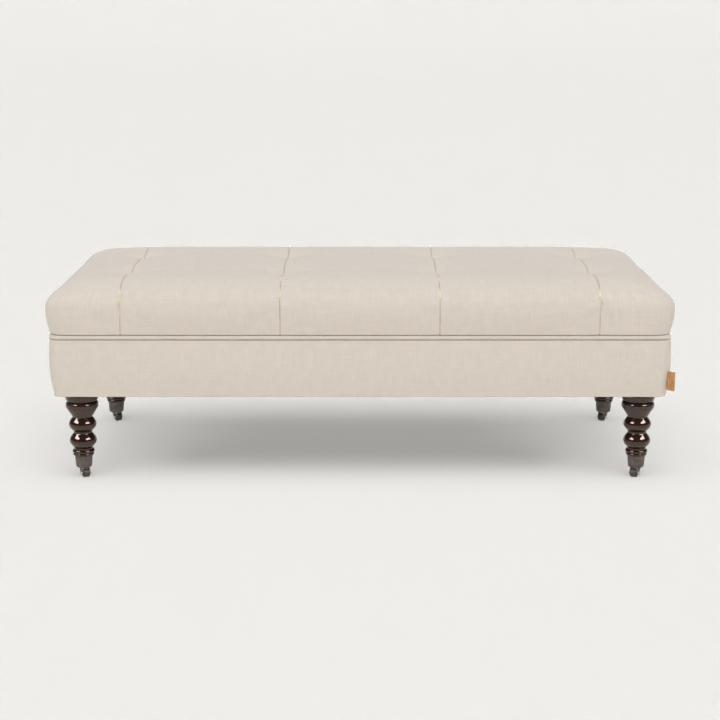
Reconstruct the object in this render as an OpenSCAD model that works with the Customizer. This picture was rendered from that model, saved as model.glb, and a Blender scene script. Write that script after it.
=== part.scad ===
// Bench ottoman with a lift-up tufted lid over a storage box, on turned legs with cup castors.
// Origin: centre of the footprint, on the floor. +X along the length, +Y to the hinge side, +Z up.

/* [Overall] */
// Length of the upholstered box, outside the fabric
box_l = 1284; // [1100:4:1500]
// Depth of the upholstered box, outside the fabric
box_d = 584; // [540:4:640]
// Height of the underside of the box above the floor
box_z = 183; // [178:1:188]
// Height of the box rim above the floor
rim_z = 301; // [290:0.5:340]
// Height of the cushion's crown above the floor
crown_z = 425; // [415:1:460]

/* [Frame] */
// Thickness of the rails of the box
rail_t = 18; // [15:1:22]
// Thickness of the foam around the rails
pad_t = 10; // [6:1:14]
// Thickness of the linen
linen_t = 2; // [1.5:0.1:2.5]
// Thickness of the board under the storage space
floor_t = 9; // [6:1:12]
// Height of the corner blocks and of the battens that carry the floor
block_h = 22; // [18:1:26]
// Plan size of a corner block
block_w = 70; // [70:1:90]
// Thickness of the board in the lid
lid_t = 15; // [12:1:18]

/* [Legs and castors] */
// Distance between the axes of the left and the right legs
leg_span_x = 1166; // [1000:2:1166]
// Distance between the axes of the front and the back legs
leg_span_y = 488; // [440:2:488]
// Radius of a castor wheel
wheel_r = 9; // [8:0.5:9]
// Width of a castor wheel
wheel_w = 14; // [10:1:14]
// Distance from the swivel axis back to the wheel's axle
trail = 9.5; // [6:0.5:10]
// Angle of a resting castor, from straight forward towards the middle
castor_turn = 30; // [0:5:90]

/* [Lid] */
// Gap between the box rim and the lid, filled by the hinge and the bumpers
lid_gap = 3; // [3:0.1:4]
// Radius of the hinge's barrel
barrel_r = 3.8; // [3.4:0.1:3.8]
// Length of the hinge along the back of the box
hinge_l = 1200; // [1000:100:1200]
// Number of tufts along the length, in each of the two rows
tufts = 4; // [3:1:4]
// Distance between two tufts along the length
tuft_pitch = 327.4; // [300:0.2:340]
// Distance between the two rows of tufts
tuft_rows = 224; // [190:2:240]
// Depth of a tuft below the crown
tuft_depth = 30; // [20:1:36]

/* [Hidden] */
$fn = 48;

// Small running gap between pieces that only touch
gap = 0.1;
// Overlap of a cutter past the face it cuts
over = 1;

linen = [0.84, 0.80, 0.75];
ply = [0.80, 0.68, 0.50];
foam = [0.93, 0.90, 0.78];
espresso = [0.16, 0.09, 0.08];
pewter = [0.37, 0.35, 0.32];
steel = [0.72, 0.72, 0.74];
black = [0.08, 0.08, 0.08];
lining = [0.75, 0.71, 0.65];
tan_leather = [0.72, 0.50, 0.28];

// Frame: outside of the rails, inside of the box, and its levels
corner_r = 22;
frame_l = box_l - 2 * (pad_t + linen_t);
frame_d = box_d - 2 * (pad_t + linen_t);
well_l = frame_l - 2 * rail_t;
well_d = frame_d - 2 * rail_t;
fold_bottom = 1;
fold_top = 1.5;
rail_z0 = box_z + fold_bottom;
rail_z1 = rim_z - fold_top;
floor_z0 = rail_z0 + block_h;
floor_z1 = floor_z0 + floor_t;
bottom_fold_w = 26;
lining_wall = 1.5;
// Room left around a board that is dropped in
fit = 0.5;

// Screws through the long rails into the ends of the side rails
frame_screw_z = [rail_z0 + 30, rail_z1 - 30];
frame_screw_l = 50;
frame_screw_r = 2;

// Leather tab: reach out of the seam, height, level and thickness
tab_out = 18.5;
tab_h = 39;
tab_z = 196;
tab_t = 3;

// Lid: levels and plan
lining_t = 1;
lid_lining_z = rim_z + lid_gap;
board_z0 = lid_lining_z + lining_t;
board_z1 = board_z0 + lid_t;
piping_r = 4.1;
piping_z = lid_lining_z + piping_r;
cushion_l = box_l + 16;
cushion_d = box_d + 16;
cushion_z0 = piping_z + piping_r + gap;
cushion_corner_r = 32;
board_corner_r = corner_r - pad_t - linen_t;
// Tuck of the cushion's side below its widest line: distance in, height above the seam
side_tuck = [[9, -over], [4, 24], [0, 52]];
// Height of the rounded edge of the crown
crown_r = 36;
tuft_x = [for (i = [0 : tufts - 1]) (i - (tufts - 1) / 2) * tuft_pitch];
tuft_y = [-tuft_rows / 2, tuft_rows / 2];
// Hollow of a tuft: radius at the twine and at the crown
tuft_r0 = 6;
tuft_r1 = 46;
twine_r = 1.2;
washer_r = 8;
washer_t = 2.5;

// Hinge: its axis and leaves
hinge_y = box_d / 2 + barrel_r + 0.4;
hinge_z = rim_z + lid_gap / 2;
leaf_t = lid_gap / 2 - gap;
leaf_front_y = well_d / 2;
pin_r = 1.9;
knuckles = 24;
knuckle_l = hinge_l / knuckles;
hinge_screw_y = (frame_d + well_d) / 4;
hinge_screw_x = [for (i = [0 : knuckles / 2 - 2]) -hinge_l / 2 + knuckle_l * (2 * i + 2)];
hinge_screw_r = 1.7;
box_screw_l = 22;
lid_screw_l = 12;
knuckle_gap = 0.15;

// Gas struts: pivots in the side view, from the hinge axis towards the front and up
strut_x = well_l / 2 - 14;
strut_a = [48, -50];
strut_b = [197, -9];
strut_closed = norm(strut_b - strut_a);
strut_angle = atan2(strut_b[1] - strut_a[1], strut_b[0] - strut_a[0]);
strut_a_y = hinge_y - strut_a[0];
strut_a_z = hinge_z + strut_a[1];
strut_b_y = hinge_y - strut_b[0];
strut_b_z = hinge_z + strut_b[1];
barrel_l = 134;
barrel_wall = 1;
barrel_out_r = 7.5;
rod_r = 3;
rod_in = 30;
stud_r = 4;
stud_head_t = 1.2;
// Half the width of the eye or socket at each end of a strut
eye_half = 4;
// Room between a turning face and what it turns on or beside
running = 0.05;
side_play = 0.3;

// Brackets of the struts
plate_t = 2;
bracket_x = well_l / 2 - lining_wall - plate_t;
bracket_w = 26;
bracket_h = 30;
bracket_y = strut_a_y - 3;
bracket_screw_l = 14;
lid_bracket_screw_l = 12;
bracket_screw_r = 1.45;
lid_tab_x = strut_x + eye_half + 0.4;
lid_plate_w = 26;
lid_plate_d = 30;
lid_tab_w = 14;

// Legs: levels along the turning
leg_x = leg_span_x / 2;
leg_y = leg_span_y / 2;
neck_r = 19;
cup_z = 20.8;
cup_top = 46.6;
cup_web = 2.7;
stem_bore_top = 39.3;
insert_r = 6;
bolt_r = 4;
bolt_z0 = 140;
cup_screw_z = 37;
cup_screw_l = 10;
cup_screw_r = 1.5;

// Castor: the crown above the wheel, the stem, the two cheeks and the axle
crown_z0 = 2 * wheel_r + 0.7;
crown_z1 = cup_z - side_play;
crown_plate_r = 11;
stem_top = 39.1;
cheek_t = 2;
cheek_in = wheel_w / 2 + 0.4;
axle_r = 1.6;
rivet_r = 2.6;
rivet_t = 1;
wheel_edge = 3;

// ---- plan shapes ----

module rounded_plan(l, d, r) {
  square([l - 2 * r, d], center = true);
  square([l, d - 2 * r], center = true);
  for (x = [-1, 1], y = [-1, 1])
    translate([x * (l / 2 - r), y * (d / 2 - r)])
      circle(r);
}

module slab(l, d, z0, z1) {
  translate([-l / 2, -d / 2, z0])
    cube([l, d, z1 - z0]);
}

module rounded_slab(l, d, r, z0, z1) {
  translate([0, 0, z0])
    linear_extrude(z1 - z0)
      rounded_plan(l, d, r);
}

// ---- box frame ----

module frame_screw_set(r, l) {
  for (x = [-1, 1], y = [-1, 1], z = frame_screw_z)
    translate([x * (frame_l - rail_t) / 2, y * frame_d / 2, z])
      rotate([y * 90, 0, 0])
        cylinder(h = l, r = r);
}

module long_rail(side) {
  color(ply)
    difference() {
      translate([-frame_l / 2, side > 0 ? well_d / 2 : -frame_d / 2, rail_z0])
        cube([frame_l, rail_t, rail_z1 - rail_z0]);
      frame_screw_set(frame_screw_r + running, frame_screw_l);
      if (side > 0)
        hinge_screw_holes();
    }
}

module side_rail(side) {
  color(ply)
    difference() {
      translate([side > 0 ? well_l / 2 : -frame_l / 2, -well_d / 2, rail_z0])
        cube([rail_t, well_d, rail_z1 - rail_z0]);
      frame_screw_set(frame_screw_r + running, frame_screw_l + gap);
      bracket_screw_set(side, bracket_screw_r + running, bracket_screw_l);
    }
}

module front_rail() {
  long_rail(-1);
}

module back_rail() {
  long_rail(1);
}

module left_rail() {
  side_rail(-1);
}

module right_rail() {
  side_rail(1);
}

module frame_screws() {
  color(steel)
    frame_screw_set(frame_screw_r, frame_screw_l);
}

module corner_blocks() {
  color(ply)
    for (x = [-1, 1], y = [-1, 1])
      difference() {
        translate([x * (well_l - block_w) / 2, y * (well_d - block_w) / 2, rail_z0 + block_h / 2])
          cube([block_w, block_w, block_h], center = true);
        translate([x * leg_x, y * leg_y, rail_z0 - over])
          cylinder(h = block_h + 2 * over, r = insert_r);
      }
}

module floor_battens() {
  long = well_l - 2 * block_w - 2 * fit;
  short = well_d - 2 * block_w - 2 * fit;
  color(ply) {
    for (y = [-1, 1])
      translate([0, y * (well_d - block_h) / 2, rail_z0 + block_h / 2])
        cube([long, block_h, block_h], center = true);
    for (x = [-1, 1])
      translate([x * (well_l - block_h) / 2, 0, rail_z0 + block_h / 2])
        cube([block_h, short, block_h], center = true);
  }
}

module floor_board() {
  color(ply)
    slab(well_l - 2 * fit, well_d - 2 * fit, floor_z0, floor_z1);
}

// ---- box upholstery ----

module box_padding() {
  color(foam)
    difference() {
      rounded_slab(box_l - 2 * linen_t, box_d - 2 * linen_t, corner_r - linen_t, rail_z0, rail_z1);
      slab(frame_l, frame_d, rail_z0 - over, rail_z1 + over);
    }
}

module box_cover() {
  color(linen)
    difference() {
      rounded_slab(box_l, box_d, corner_r, box_z, rim_z);
      rounded_slab(box_l - 2 * linen_t, box_d - 2 * linen_t, corner_r - linen_t, rail_z0, rail_z1);
      slab(well_l, well_d, rail_z1 - over, rim_z + over);
      slab(box_l - 2 * bottom_fold_w, box_d - 2 * bottom_fold_w, box_z - over, rail_z0 + over);
      hinge_screw_holes();
    }
}

module storage_lining() {
  color(lining)
    difference() {
      slab(well_l, well_d, floor_z1, rail_z1);
      slab(well_l - 2 * lining_wall, well_d - 2 * lining_wall, floor_z1 + lining_wall, rail_z1 + over);
      for (side = [-1, 1])
        bracket_screw_set(side, bracket_screw_r + running, bracket_screw_l);
    }
}

module dust_cover() {
  color(black)
    difference() {
      slab(box_l - 2 * (bottom_fold_w + fit), box_d - 2 * (bottom_fold_w + fit), box_z, rail_z0);
      for (x = [-1, 1], y = [-1, 1])
        translate([x * leg_x, y * leg_y, box_z - over])
          cylinder(h = fold_bottom + 2 * over, r = bolt_r + 1);
    }
}

// Folded blank tab sewn into the front right corner seam
module leather_tab() {
  seam = corner_r + 0.2;
  color(tan_leather)
    translate([box_l / 2 - corner_r, -box_d / 2 + corner_r, tab_z])
      rotate([0, 0, -45]) {
        translate([seam, -tab_t / 2, 0])
          cube([tab_out - tab_t / 2, tab_t, tab_h]);
        translate([seam + tab_out - tab_t / 2, 0, 0])
          cylinder(h = tab_h, r = tab_t / 2);
      }
}

// ---- legs ----

module threaded_inserts() {
  color(steel)
    for (x = [-1, 1], y = [-1, 1])
      translate([x * leg_x, y * leg_y, rail_z0])
        difference() {
          cylinder(h = block_h, r = insert_r);
          translate([0, 0, -over])
            cylinder(h = block_h + 2 * over, r = bolt_r + running);
        }
}

module hanger_bolts() {
  color(steel)
    for (x = [-1, 1], y = [-1, 1])
      translate([x * leg_x, y * leg_y, bolt_z0])
        cylinder(h = floor_z0 - bolt_z0, r = bolt_r);
}

// A full rounded swelling of the turning between two necks of radius r0 and r1
function bead(z0, z1, r0, r1, rmax) = [
  for (t = [0 : 15 : 180])
    [(t < 90 ? r0 : r1) + (rmax - (t < 90 ? r0 : r1)) * sin(t), (z0 + z1) / 2 - (z1 - z0) / 2 * cos(t)]
];

// A slimmer, lens-like swelling
function bulb(z0, z1, r0, r1, rmax) = [
  for (t = [0 : 15 : 180])
    [(t < 90 ? r0 : r1) + (rmax - (t < 90 ? r0 : r1)) * sin(t), z0 + (z1 - z0) * t / 180]
];

// From the foot up: end in the cup, ring, small bead, two bulbs, cone, collar and top block
function leg_profile() = concat(
  [[0, stem_bore_top + 0.4], [6.7, stem_bore_top + 0.4], [6.7, cup_z + cup_web + 0.2]],
  [[14.6, cup_z + cup_web + 0.2], [17.2, cup_top + gap]],
  bead(cup_top + gap, 52.2, 20.5, 20.5, 21.9),
  bead(52.3, 60, 20.4, neck_r, 23.4),
  [[neck_r, 63]],
  bulb(63.1, 95, neck_r, 19.6, 28.4),
  bulb(99, 129.5, 19.6, 20.6, 29),
  [[33.2, 150.2]],
  bead(150.3, 163.3, 33.2, 29, 34.4),
  bead(163.4, box_z, 29, 32, 34.4),
  [[0, box_z]]
);

module leg(x, y) {
  color(espresso)
    translate([x * leg_x, y * leg_y, 0])
      difference() {
        rotate_extrude()
          polygon(leg_profile());
        translate([0, 0, bolt_z0])
          cylinder(h = box_z - bolt_z0 + over, r = bolt_r + running);
        rotate([0, 0, y < 0 ? 90 : -90])
          translate([0, 0, cup_screw_z])
            rotate([0, 90, 0])
              cylinder(h = 2 * neck_r, r = cup_screw_r + 0.1);
      }
}

// ---- castors ----

module castor_cup(x, y) {
  color(pewter)
    translate([x * leg_x, y * leg_y, 0])
      difference() {
        rotate_extrude()
          polygon([
            [bolt_r + running, cup_z], [14.4, cup_z], [15.9, cup_z + 0.7], [16.7, cup_z + 2.4],
            [18.8, cup_top], [17.4, cup_top], [14.8, cup_z + cup_web], [6.5, cup_z + cup_web],
            [6.5, stem_bore_top], [bolt_r + running, stem_bore_top]
          ]);
        rotate([0, 0, y < 0 ? 90 : -90])
          translate([neck_r / 2, 0, cup_screw_z])
            rotate([0, 90, 0])
              cylinder(h = neck_r, r = cup_screw_r + 0.2);
      }
}

// One short screw through the inward side of each cup
module castor_cup_screws() {
  head_x = 18.2;
  color(pewter)
    for (x = [-1, 1], y = [-1, 1])
      translate([x * leg_x, y * leg_y, cup_screw_z])
        rotate([0, 0, y < 0 ? 90 : -90])
          rotate([0, 90, 0]) {
            translate([0, 0, head_x + gap - cup_screw_l])
              cylinder(h = cup_screw_l, r = cup_screw_r);
            translate([0, 0, head_x])
              cylinder(h = 1.3, r1 = 2 * cup_screw_r + 0.2, r2 = 2.2);
          }
}

// The castor's own frame: swivel axis on Z, wheel trailing along +Y, axle along X
module castor_place(x, y) {
  translate([x * leg_x, y * leg_y, 0])
    rotate([0, 0, 180 - x * castor_turn])
      children();
}

module castor_fork(x, y) {
  color(pewter)
    castor_place(x, y) {
      translate([0, 0, crown_z0])
        cylinder(h = crown_z1 - crown_z0, r = crown_plate_r);
      translate([0, 0, crown_z0])
        cylinder(h = stem_top - crown_z0, r = bolt_r);
      for (s = [-1, 1])
        difference() {
          translate([s > 0 ? cheek_in : -cheek_in - cheek_t, 0, 0])
            rotate([90, 0, 90])
              linear_extrude(cheek_t) {
                polygon([
                  [-6, crown_z1], [8, crown_z1], [trail + 3.6, wheel_r + 4], [trail + 4, wheel_r],
                  [trail + 2, wheel_r - 3.4], [trail - 2, wheel_r - 3.4], [trail - 5, wheel_r]
                ]);
              }
          translate([s * (cheek_in - over), trail, wheel_r])
            rotate([0, s * 90, 0])
              cylinder(h = cheek_t + 2 * over, r = axle_r + running);
        }
    }
}

module castor_axle(x, y) {
  reach = cheek_in + cheek_t;
  color(steel)
    castor_place(x, y)
      translate([0, trail, wheel_r]) {
        rotate([0, 90, 0])
          cylinder(h = 2 * reach, r = axle_r, center = true);
        for (s = [-1, 1])
          translate([s * (reach + rivet_t / 2), 0, 0])
            rotate([0, 90, 0])
              cylinder(h = rivet_t, r = rivet_r, center = true);
      }
}

module castor_wheel(x, y) {
  bore = axle_r + running;
  tread_r = wheel_r - wheel_edge;
  side_x = wheel_w / 2 - wheel_edge;
  color(black)
    castor_place(x, y)
      translate([0, trail, wheel_r])
        rotate([0, 90, 0])
          rotate_extrude()
            polygon(concat(
              [[bore, -wheel_w / 2]],
              [for (t = [-90 : 15 : 0]) [tread_r + wheel_edge * cos(t), -side_x + wheel_edge * sin(t)]],
              [for (t = [0 : 15 : 90]) [tread_r + wheel_edge * cos(t), side_x + wheel_edge * sin(t)]],
              [[bore, wheel_w / 2]]
            ));
}

// ---- hinge along the back ----

module hinge_screw_holes() {
  for (x = hinge_screw_x)
    translate([x, hinge_screw_y, rim_z - box_screw_l - over])
      cylinder(h = box_screw_l + 2 * over, r = hinge_screw_r + running);
}

// Knuckles that belong to one leaf: first = 0 for the box, 1 for the lid
module hinge_knuckles(first) {
  for (i = [first : 2 : knuckles - 1])
    translate([-hinge_l / 2 + i * knuckle_l + knuckle_gap, hinge_y, hinge_z])
      rotate([0, 90, 0])
        difference() {
          cylinder(h = knuckle_l - 2 * knuckle_gap, r = barrel_r, $fn = 32);
          translate([0, 0, -over])
            cylinder(h = knuckle_l + 2 * over, r = pin_r + (first == 0 ? 0 : running), $fn = 32);
        }
}

// Flat leaf from the barrel to the storage space; z0 is its underside
module hinge_leaf_plate(first, z0) {
  root_y = box_d / 2;
  translate([-hinge_l / 2, leaf_front_y, z0])
    cube([hinge_l, root_y - leaf_front_y, leaf_t]);
  for (i = [first : 2 : knuckles - 1])
    difference() {
      translate([-hinge_l / 2 + i * knuckle_l + knuckle_gap, root_y - over, z0])
        cube([knuckle_l - 2 * knuckle_gap, hinge_y - root_y + over, leaf_t]);
      translate([-hinge_l / 2, hinge_y, hinge_z])
        rotate([0, 90, 0])
          cylinder(h = hinge_l, r = barrel_r - 0.5, $fn = 32);
    }
}

module hinge_box_leaf() {
  color(steel)
    difference() {
      union() {
        hinge_leaf_plate(0, rim_z);
        hinge_knuckles(0);
      }
      for (x = hinge_screw_x)
        translate([x, hinge_screw_y, rim_z - over])
          cylinder(h = leaf_t + 2 * over, r = hinge_screw_r + running);
    }
}

module hinge_lid_leaf() {
  color(steel)
    difference() {
      union() {
        hinge_leaf_plate(1, lid_lining_z - leaf_t);
        hinge_knuckles(1);
      }
      for (x = hinge_screw_x)
        translate([x + knuckle_l, hinge_screw_y, lid_lining_z - leaf_t - over])
          cylinder(h = leaf_t + 2 * over, r = hinge_screw_r + running);
    }
}

module hinge_pin() {
  color(steel)
    translate([-hinge_l / 2, hinge_y, hinge_z])
      rotate([0, 90, 0])
        cylinder(h = hinge_l, r = pin_r, $fn = 32);
}

module hinge_box_screws() {
  color(steel)
    for (x = hinge_screw_x)
      translate([x, hinge_screw_y, rim_z - box_screw_l])
        cylinder(h = box_screw_l + leaf_t, r = hinge_screw_r);
}

module hinge_lid_screws() {
  color(steel)
    for (x = hinge_screw_x)
      translate([x + knuckle_l, hinge_screw_y, lid_lining_z - leaf_t])
        cylinder(h = leaf_t + lid_screw_l, r = hinge_screw_r);
}

// ---- lid ----

// Discs on the rim: two along the front, one on each side
module lid_bumpers() {
  inset = 15;
  side_y = 60;
  front_y = -box_d / 2 + inset;
  side_x = box_l / 2 - inset;
  color(black)
    for (p = [[-leg_x, front_y], [leg_x, front_y], [-side_x, side_y], [side_x, side_y]])
      translate([p[0], p[1], rim_z])
        cylinder(h = lid_gap - gap, r = 5);
}

module lid_screw_holes(z0, h) {
  for (x = hinge_screw_x)
    translate([x + knuckle_l, hinge_screw_y, z0])
      cylinder(h = h, r = hinge_screw_r + running);
  for (side = [-1, 1])
    lid_bracket_screw_set(side, bracket_screw_r + 2 * running, z0, h);
}

module lid_board() {
  color(ply)
    difference() {
      rounded_slab(frame_l, frame_d, board_corner_r, board_z0, board_z1);
      for (x = tuft_x, y = tuft_y)
        translate([x, y, board_z0 - over]) {
          cylinder(h = lid_t + 2 * over, r = 2);
          cylinder(h = over + washer_t + fit, r = washer_r + fit);
        }
      lid_screw_holes(board_z0 - over, lid_screw_l + over);
    }
}

module lid_lining() {
  color(lining)
    difference() {
      rounded_slab(frame_l, frame_d, board_corner_r, lid_lining_z, board_z0);
      lid_screw_holes(lid_lining_z - over, lining_t + 2 * over);
    }
}

// Outline of the cushion's edge, from its seam up to the crown, at a distance inside the linen
function cushion_edge(inside) = concat(
  [for (p = side_tuck) [cushion_corner_r - p[0] - inside, cushion_z0 + p[1]]],
  [for (t = [0 : 15 : 90])
    [(cushion_corner_r - inside) * cos(t), crown_z - crown_r + (crown_r - inside) * sin(t)]]
);

// Cushion body with a hollow over each tuft, shrunk by a distance inside the linen
module cushion_body(inside) {
  difference() {
    hull()
      for (x = [-1, 1], y = [-1, 1])
        translate([x * (cushion_l / 2 - cushion_corner_r), y * (cushion_d / 2 - cushion_corner_r), 0])
          rotate_extrude($fn = 32)
            polygon(concat([[0, cushion_z0 - over]], cushion_edge(inside)));
    for (x = tuft_x, y = tuft_y)
      translate([x, y, crown_z - inside - tuft_depth])
        cylinder(h = tuft_depth + over, r1 = tuft_r0, r2 = tuft_r1, $fn = 24);
  }
}

module below(z) {
  slab(cushion_l + 2 * over, cushion_d + 2 * over, z - 5 * over, z);
}

module lid_cover() {
  color(linen)
    difference() {
      cushion_body(0);
      cushion_body(linen_t);
      below(cushion_z0);
    }
}

module lid_foam() {
  color(foam)
    difference() {
      cushion_body(linen_t + 2 * gap);
      below(cushion_z0 + gap);
      rounded_slab(frame_l, frame_d, board_corner_r, cushion_z0 - over, board_z1);
      for (x = tuft_x, y = tuft_y)
        translate([x, y, board_z1 - over])
          cylinder(h = crown_z - board_z1, r = twine_r + fit);
    }
}

// Straight runs and quarter-round corners of the piped edge
module lid_piping() {
  l = box_l / 2 - piping_r;
  d = box_d / 2 - piping_r;
  bend = corner_r - piping_r;
  color(linen)
    translate([0, 0, piping_z]) {
      for (y = [-1, 1])
        translate([0, y * d, 0])
          rotate([0, 90, 0])
            cylinder(h = 2 * (l - bend), r = piping_r, center = true, $fn = 32);
      for (x = [-1, 1])
        translate([x * l, 0, 0])
          rotate([90, 0, 0])
            cylinder(h = 2 * (d - bend), r = piping_r, center = true, $fn = 32);
      for (i = [0 : 3]) {
        sx = (i == 0 || i == 3) ? 1 : -1;
        sy = i < 2 ? 1 : -1;
        translate([sx * (l - bend), sy * (d - bend), 0])
          rotate([0, 0, 90 * i])
            rotate_extrude(angle = 90)
              translate([bend, 0])
                circle(piping_r, $fn = 32);
      }
    }
}

module tufting_twines() {
  z0 = board_z0 + washer_t;
  z1 = crown_z - tuft_depth - linen_t - 2 * gap;
  color(linen)
    for (x = tuft_x, y = tuft_y)
      translate([x, y, z0])
        cylinder(h = z1 - z0, r = twine_r);
}

module tufting_washers() {
  color(black)
    for (x = tuft_x, y = tuft_y)
      translate([x, y, board_z0])
        cylinder(h = washer_t, r = washer_r);
}

// ---- gas struts ----

module bracket_screw_set(side, r, l) {
  for (z = [-1, 1])
    translate([side * bracket_x, bracket_y - 8, strut_a_z + z * 10])
      rotate([0, side * 90, 0])
        cylinder(h = l, r = r);
}

module lid_bracket_screw_set(side, r, z0, h) {
  for (y = [-1, 1])
    translate([side * (lid_tab_x - 18), strut_b_y + y * 8, z0])
      cylinder(h = h, r = r);
}

// Plate on the side of the storage space with the stud that carries the cylinder's eye
module strut_box_bracket(side) {
  reach = bracket_x - strut_x;
  color(steel)
    difference() {
      union() {
        translate([side * (bracket_x + plate_t / 2), bracket_y, strut_a_z])
          cube([plate_t, bracket_w, bracket_h], center = true);
        translate([side * bracket_x, strut_a_y, strut_a_z])
          rotate([0, -side * 90, 0]) {
            cylinder(h = reach - eye_half - side_play, r = stud_r + 2);
            cylinder(h = reach + eye_half + side_play, r = stud_r);
            translate([0, 0, reach + eye_half + side_play])
              cylinder(h = stud_head_t, r = stud_r + 1.5);
          }
      }
      translate([-side * over, 0, 0])
        bracket_screw_set(side, bracket_screw_r + running, bracket_screw_l);
    }
}

// Angle under the lid whose tab stands beside the rod's end socket
module strut_lid_bracket(side) {
  plate_z = lid_lining_z - plate_t;
  color(steel)
    difference() {
      union() {
        translate([side * (lid_tab_x + plate_t - lid_plate_w / 2), strut_b_y, lid_lining_z - plate_t / 2])
          cube([lid_plate_w, lid_plate_d, plate_t], center = true);
        translate([side * (lid_tab_x + plate_t / 2), strut_b_y, (lid_lining_z + strut_b_z) / 2])
          cube([plate_t, lid_tab_w, lid_lining_z - strut_b_z], center = true);
        translate([side * (lid_tab_x + plate_t / 2), strut_b_y, strut_b_z])
          rotate([0, 90, 0])
            cylinder(h = plate_t, r = lid_tab_w / 2, center = true);
      }
      lid_bracket_screw_set(side, bracket_screw_r + running, plate_z - over, plate_t + 2 * over);
    }
}

module strut_box_screws() {
  color(steel)
    for (side = [-1, 1])
      bracket_screw_set(side, bracket_screw_r, bracket_screw_l);
}

module strut_lid_screws() {
  color(steel)
    for (side = [-1, 1])
      lid_bracket_screw_set(side, bracket_screw_r, lid_lining_z - plate_t, lid_bracket_screw_l);
}

// Strut's own frame: origin on the box pivot, +X along the closed strut
module strut_place(side) {
  translate([side * strut_x, strut_a_y, strut_a_z])
    rotate([-strut_angle, 0, 0])
      rotate([0, 0, -90])
        children();
}

module strut_cylinder(side) {
  neck_x = 6;
  tube_x = 14;
  bore_x = 18;
  cap_t = 6;
  color(black)
    strut_place(side)
      difference() {
        union() {
          rotate([90, 0, 0])
            cylinder(h = 2 * eye_half, r = 8, center = true);
          translate([neck_x, 0, 0])
            rotate([0, 90, 0])
              cylinder(h = tube_x - neck_x + over, r = stud_r);
          translate([tube_x, 0, 0])
            rotate([0, 90, 0])
              cylinder(h = barrel_l - tube_x, r = barrel_out_r);
        }
        rotate([90, 0, 0])
          cylinder(h = 20, r = stud_r + running, center = true);
        translate([bore_x, 0, 0])
          rotate([0, 90, 0])
            cylinder(h = barrel_l - cap_t - bore_x, r = barrel_out_r - barrel_wall);
        translate([bore_x, 0, 0])
          rotate([0, 90, 0])
            cylinder(h = barrel_l, r = rod_r + gap);
      }
}

module strut_rod(side) {
  color(steel)
    strut_place(side) {
      translate([rod_in, 0, 0])
        rotate([0, 90, 0])
          cylinder(h = strut_closed - rod_in - 4, r = rod_r);
      translate([rod_in, 0, 0])
        rotate([0, 90, 0])
          cylinder(h = 6, r = barrel_out_r - barrel_wall - gap);
      translate([strut_closed, 0, 0])
        rotate([90, 0, 0])
          cylinder(h = 2 * eye_half, r = 6.5, center = true);
    }
}

// ---- one line for each node ----

front_rail();
back_rail();
left_rail();
right_rail();
frame_screws();
corner_blocks();
floor_battens();
floor_board();
box_padding();
box_cover();
storage_lining();
dust_cover();
leather_tab();
threaded_inserts();
hanger_bolts();
leg(-1, -1);  // leg_front_left
leg(1, -1);  // leg_front_right
leg(-1, 1);  // leg_back_left
leg(1, 1);  // leg_back_right
castor_cup(-1, -1);  // castor_cup_front_left
castor_cup(1, -1);  // castor_cup_front_right
castor_cup(-1, 1);  // castor_cup_back_left
castor_cup(1, 1);  // castor_cup_back_right
castor_cup_screws();
castor_fork(-1, -1);  // castor_fork_front_left
castor_fork(1, -1);  // castor_fork_front_right
castor_fork(-1, 1);  // castor_fork_back_left
castor_fork(1, 1);  // castor_fork_back_right
castor_axle(-1, -1);  // castor_axle_front_left
castor_axle(1, -1);  // castor_axle_front_right
castor_axle(-1, 1);  // castor_axle_back_left
castor_axle(1, 1);  // castor_axle_back_right
castor_wheel(-1, -1);  // castor_wheel_front_left
castor_wheel(1, -1);  // castor_wheel_front_right
castor_wheel(-1, 1);  // castor_wheel_back_left
castor_wheel(1, 1);  // castor_wheel_back_right
hinge_box_leaf();
hinge_lid_leaf();
hinge_pin();
hinge_box_screws();
hinge_lid_screws();
lid_bumpers();
lid_board();
lid_lining();
lid_foam();
lid_cover();
lid_piping();
tufting_twines();
tufting_washers();
strut_box_bracket(-1);  // strut_box_bracket_left
strut_box_bracket(1);  // strut_box_bracket_right
strut_lid_bracket(-1);  // strut_lid_bracket_left
strut_lid_bracket(1);  // strut_lid_bracket_right
strut_box_screws();
strut_lid_screws();
strut_cylinder(-1);  // strut_cylinder_left
strut_cylinder(1);  // strut_cylinder_right
strut_rod(-1);  // strut_rod_left
strut_rod(1);  // strut_rod_right
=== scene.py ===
"""Looks of a bench ottoman with a tufted linen lid, a storage box, turned legs and castors.

Everything is in metres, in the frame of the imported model: +X along the length, +Y to the hinge, +Z up.
"""

import math

import bmesh
import bpy
import numpy as np
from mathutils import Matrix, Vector


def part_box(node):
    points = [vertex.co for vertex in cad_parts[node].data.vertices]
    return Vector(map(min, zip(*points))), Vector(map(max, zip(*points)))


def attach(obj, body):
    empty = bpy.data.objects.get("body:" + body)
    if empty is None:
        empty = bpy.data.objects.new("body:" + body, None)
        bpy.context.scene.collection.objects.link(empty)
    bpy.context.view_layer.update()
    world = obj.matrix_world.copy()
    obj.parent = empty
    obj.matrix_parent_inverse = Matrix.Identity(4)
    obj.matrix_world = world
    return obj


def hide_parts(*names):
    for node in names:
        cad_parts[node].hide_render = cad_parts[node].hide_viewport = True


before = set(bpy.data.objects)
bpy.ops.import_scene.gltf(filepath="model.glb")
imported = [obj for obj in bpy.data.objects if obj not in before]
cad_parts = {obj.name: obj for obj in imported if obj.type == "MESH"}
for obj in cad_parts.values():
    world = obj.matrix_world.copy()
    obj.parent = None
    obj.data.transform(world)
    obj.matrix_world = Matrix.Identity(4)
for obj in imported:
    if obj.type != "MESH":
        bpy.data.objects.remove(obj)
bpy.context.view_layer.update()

MM = 0.001


# ---------------------------------------------------------------- places read from the frame


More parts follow.
